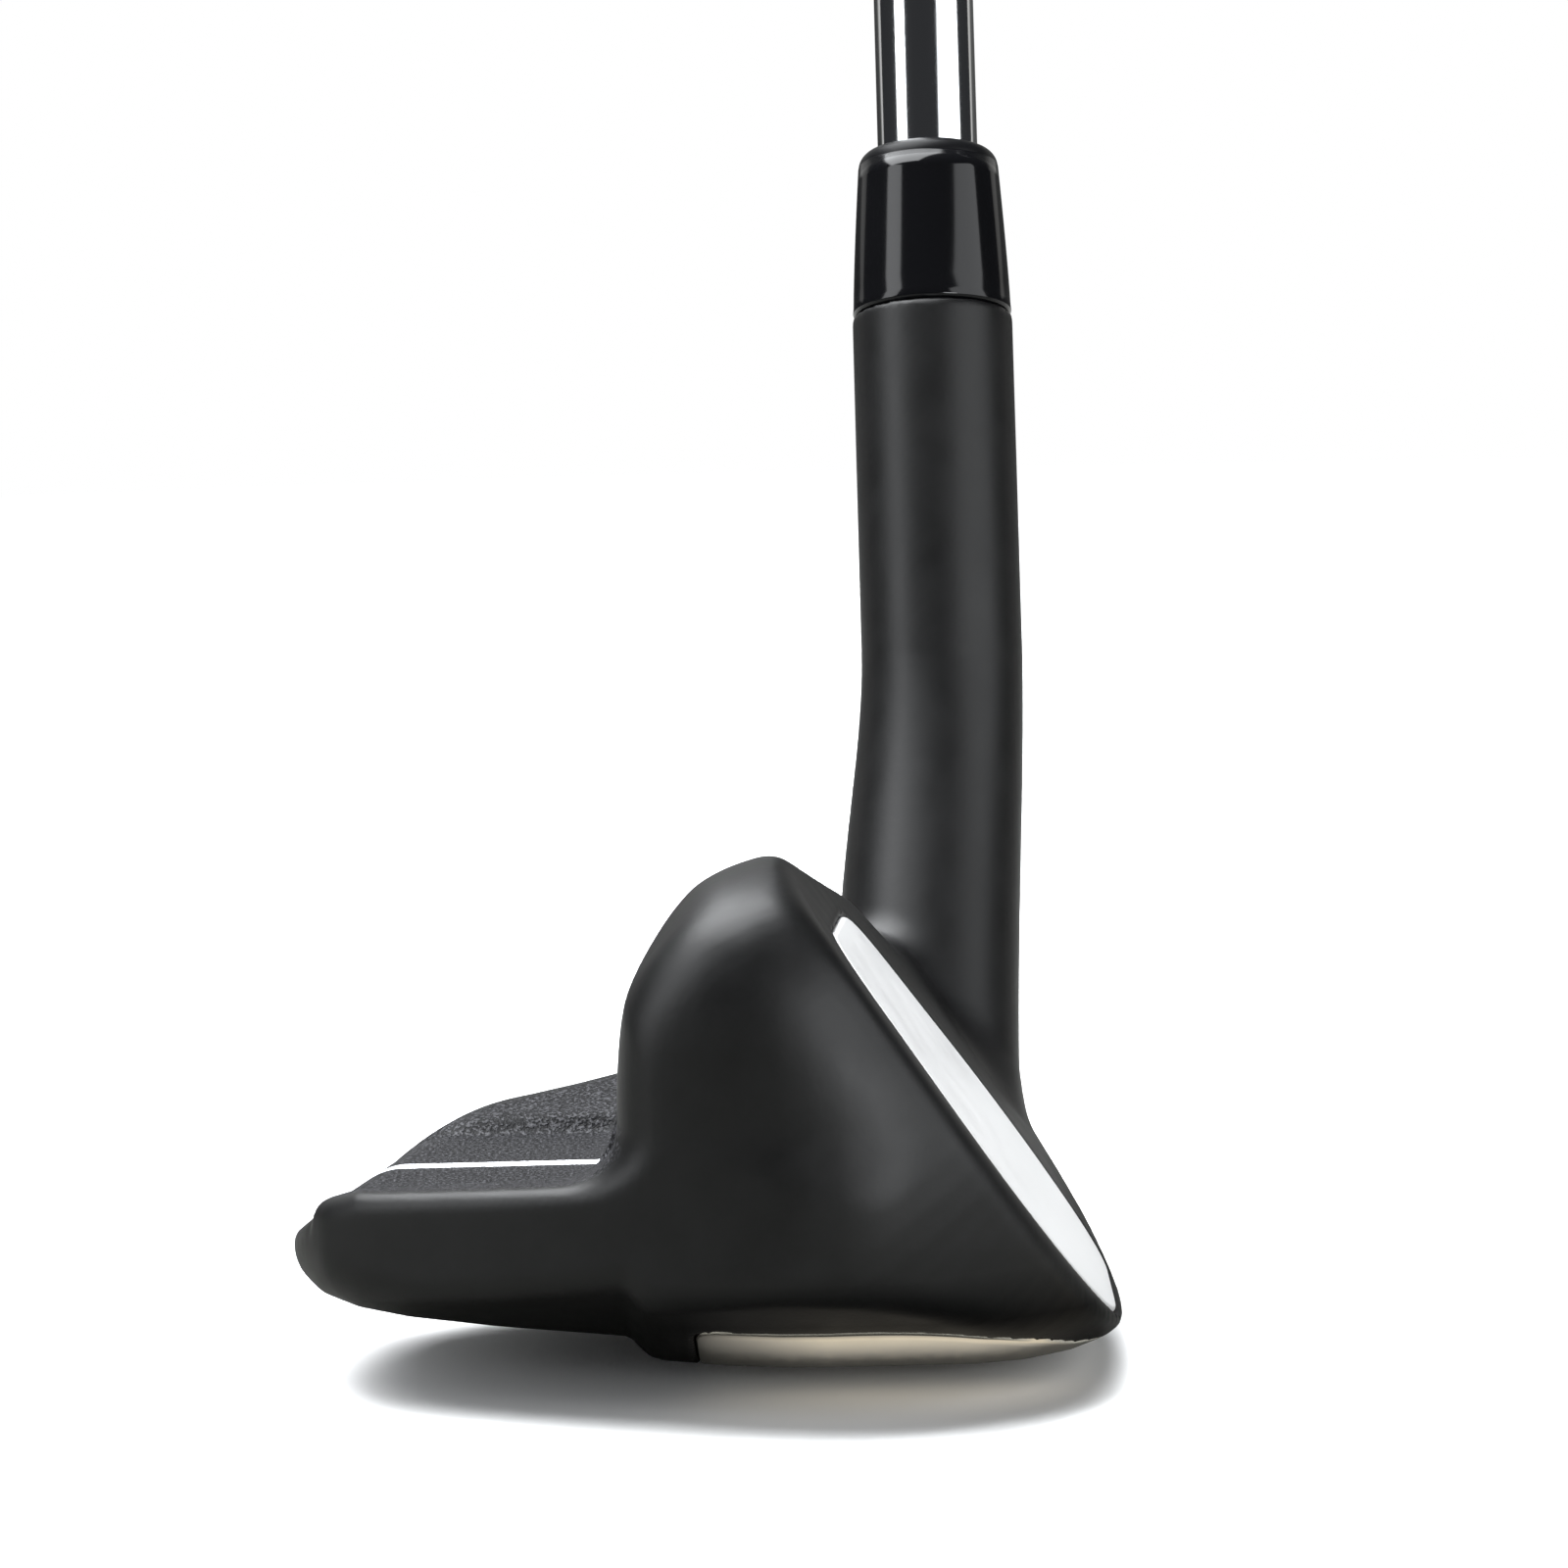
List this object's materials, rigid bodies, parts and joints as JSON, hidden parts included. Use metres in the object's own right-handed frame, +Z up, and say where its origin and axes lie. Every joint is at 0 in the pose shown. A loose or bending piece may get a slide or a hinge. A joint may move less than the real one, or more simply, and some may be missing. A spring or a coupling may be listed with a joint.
{
  "type": "iron golf club",
  "caption": "Right-handed iron golf club of the chipper kind: lofted black head with a rear flange, white face insert and bare sole, on a stepped chrome shaft with a rubber grip.",
  "frame": {"origin": "middle of the sole flat, on the ground when the club stands at address", "axes": "+X the way the ball leaves, +Y from toe to heel towards the golfer, +Z up"},
  "size_m": [0.0727, 0.3772, 0.8435],
  "materials": {
    "head_black": "matte black coating over a fine blasted casting",
    "insert_white": "satin white polymer",
    "adhesive_film": "cured adhesive film",
    "sole_metal": "satin bare steel",
    "line_white": "white paint fill",
    "ferrule_black": "polished black plastic",
    "epoxy_amber": "cured shaft epoxy",
    "shaft_chrome": "polished chrome plate",
    "plug_brass": "turned brass",
    "band_grey": "plain satin film, no text",
    "tape_paper": "double-sided paper tape",
    "grip_rubber": "matte black rubber, fine pattern",
    "cap_rubber": "matte black rubber"
  },
  "bodies": {
    "root": {"head_body": "head_black", "face_insert": "insert_white", "insert_bond": "adhesive_film", "sole_plate": "sole_metal", "sole_plate_bond": "adhesive_film", "alignment_line": "line_white", "ferrule": "ferrule_black", "hosel_epoxy": "epoxy_amber", "shaft": "shaft_chrome", "swing_weight_plug": "plug_brass", "shaft_band": "band_grey", "grip_tape": "tape_paper", "grip_sleeve": "grip_rubber", "grip_cap": "cap_rubber"}
  },
  "joints": []
}
